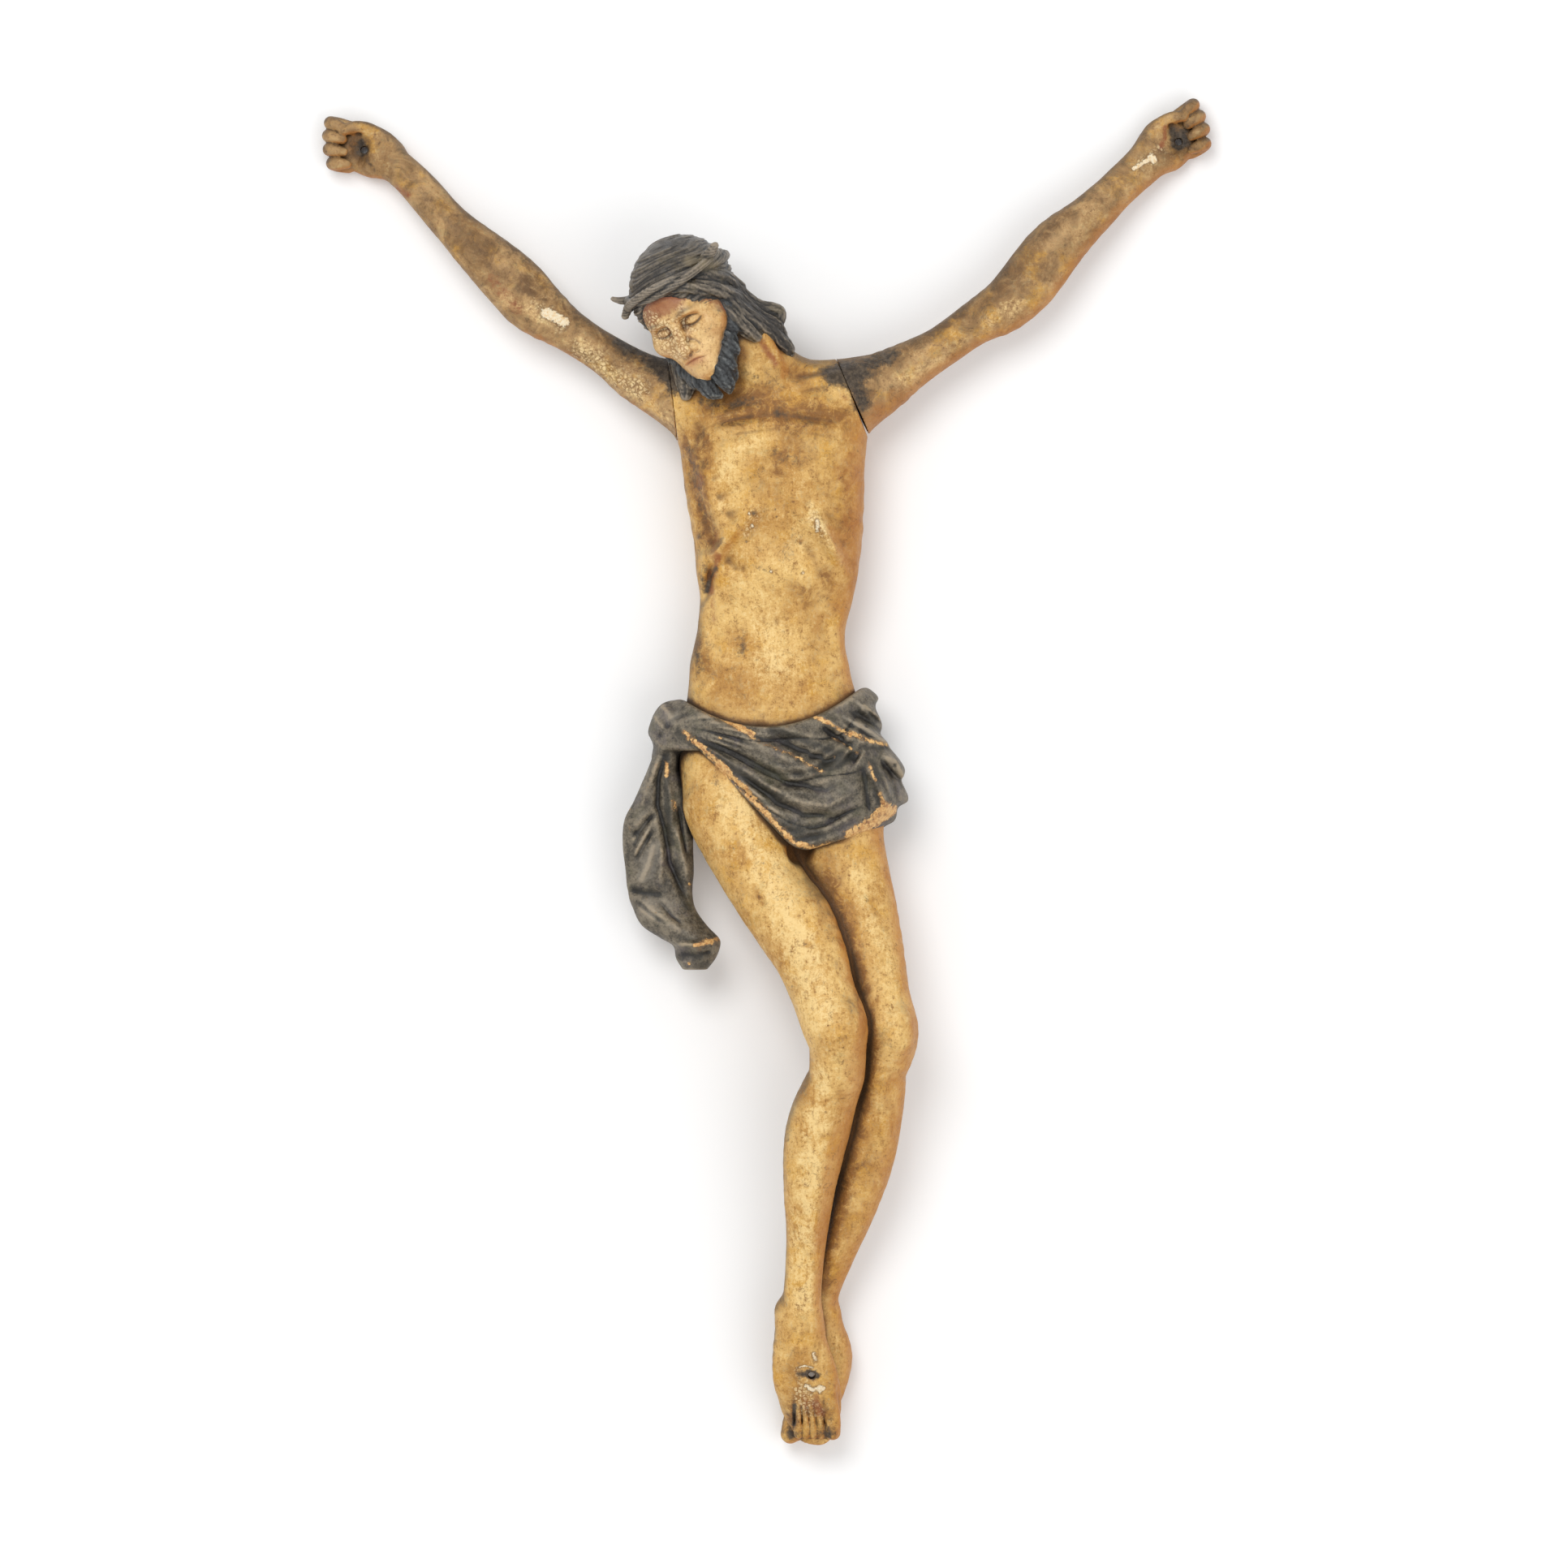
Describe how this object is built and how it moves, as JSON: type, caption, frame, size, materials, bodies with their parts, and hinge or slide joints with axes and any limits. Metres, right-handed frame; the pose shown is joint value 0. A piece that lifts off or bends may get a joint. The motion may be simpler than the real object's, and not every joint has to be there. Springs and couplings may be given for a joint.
{
  "type": "carved crucifix corpus figure",
  "caption": "Carved and painted wooden corpus from a crucifix, arms raised, head bowed, loincloth with hanging end, pierced hands and crossed feet, flat-backed, lying on its back.",
  "frame": {"origin": "centre of the flat planed on the upper back, in the plane that the figure lies on", "axes": "+Y from the feet to the head, +X to the figure's left, +Z out of the chest"},
  "size_m": [0.3937, 0.5966, 0.08],
  "materials": {
    "painted_wood": "aged flesh-coloured oil paint over gesso on limewood, charcoal-blue loincloth, dark hair, worn through at the ridges",
    "painted_wood_arms": "browner, grimy flesh paint over gesso on limewood, chipped to white and bare wood"
  },
  "bodies": {
    "root": {"corpus_body": "painted_wood", "left_arm": "painted_wood_arms", "right_arm": "painted_wood_arms"}
  },
  "joints": []
}
